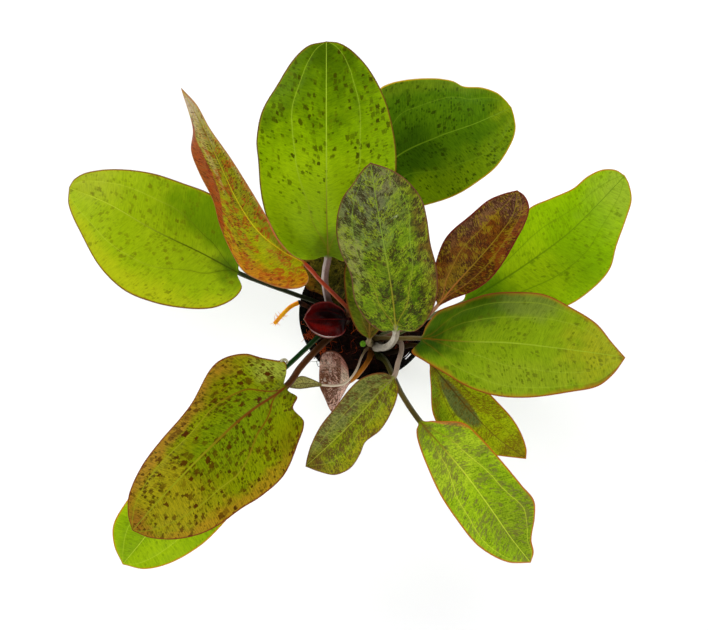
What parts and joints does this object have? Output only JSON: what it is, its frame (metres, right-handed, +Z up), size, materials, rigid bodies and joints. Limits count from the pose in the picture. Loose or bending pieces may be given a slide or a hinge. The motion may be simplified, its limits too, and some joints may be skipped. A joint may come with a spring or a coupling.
{
  "type": "potted ozelot echinodorus",
  "caption": "Aquarium sword plant with a spreading rosette of stalked, spotted green and red-brown leaves, growing in a small round black net pot of dark fibrous medium.",
  "frame": {"origin": "middle of the pot's underside, on the surface that the pot stands on", "axes": "+Z up the pot's axis, +Y towards the large upright green leaf at the top of the picture, +X to the picture's right"},
  "size_m": [0.2069, 0.1923, 0.1463],
  "materials": {
    "pot": "glossy black moulded plastic",
    "growing_medium": "dark wet fibrous medium",
    "rootstock": "rough dark brown",
    "cut_stalk": "fresh green stalk",
    "root": "orange, smooth, slightly wet",
    "leaf_left": "satin yellow-green with small brown spots",
    "leaf_folded_orange": "satin orange and gold with red veins",
    "leaf_top": "satin bright green with dark dashes",
    "leaf_top_right": "satin dark green with dark dashes",
    "leaf_centre": "satin green and purple-grey with dark mottles",
    "leaf_centre_behind": "satin green with dark mottles",
    "leaf_red_brown": "satin red-brown with olive veins",
    "leaf_right_back": "satin light green with faint spots",
    "leaf_right": "satin green with an orange-brown margin",
    "leaf_lower_right_back": "satin yellow-green with a grey fold",
    "leaf_lower_right": "satin yellow-green with brown mottles",
    "leaf_lower_centre": "satin olive with brown mottles",
    "leaf_withered": "withered pink-brown",
    "leaf_lower_left": "satin olive with large brown spots",
    "leaf_lower_left_back": "satin bright green with a golden margin",
    "leaf_narrow_young": "satin grey-green",
    "leaf_dark_behind": "dark olive, mottled",
    "leaf_wine_red_young": "glossy wine red"
  },
  "bodies": {
    "root": {"pot": "pot", "growing_medium": "growing_medium", "crown_left": "rootstock", "crown_right": "rootstock", "cut_stalk": "cut_stalk", "root_orange": "root", "leaf_left": "leaf_left", "leaf_folded_orange": "leaf_folded_orange", "leaf_top": "leaf_top", "leaf_top_right": "leaf_top_right", "leaf_centre": "leaf_centre", "leaf_centre_behind": "leaf_centre_behind", "leaf_red_brown": "leaf_red_brown", "leaf_right_back": "leaf_right_back", "leaf_right": "leaf_right", "leaf_lower_right_back": "leaf_lower_right_back", "leaf_lower_right": "leaf_lower_right", "leaf_lower_centre": "leaf_lower_centre", "leaf_withered": "leaf_withered", "leaf_lower_left": "leaf_lower_left", "leaf_lower_left_back": "leaf_lower_left_back", "leaf_narrow_young": "leaf_narrow_young", "leaf_dark_behind": "leaf_dark_behind", "leaf_wine_red_young": "leaf_wine_red_young"}
  },
  "joints": []
}
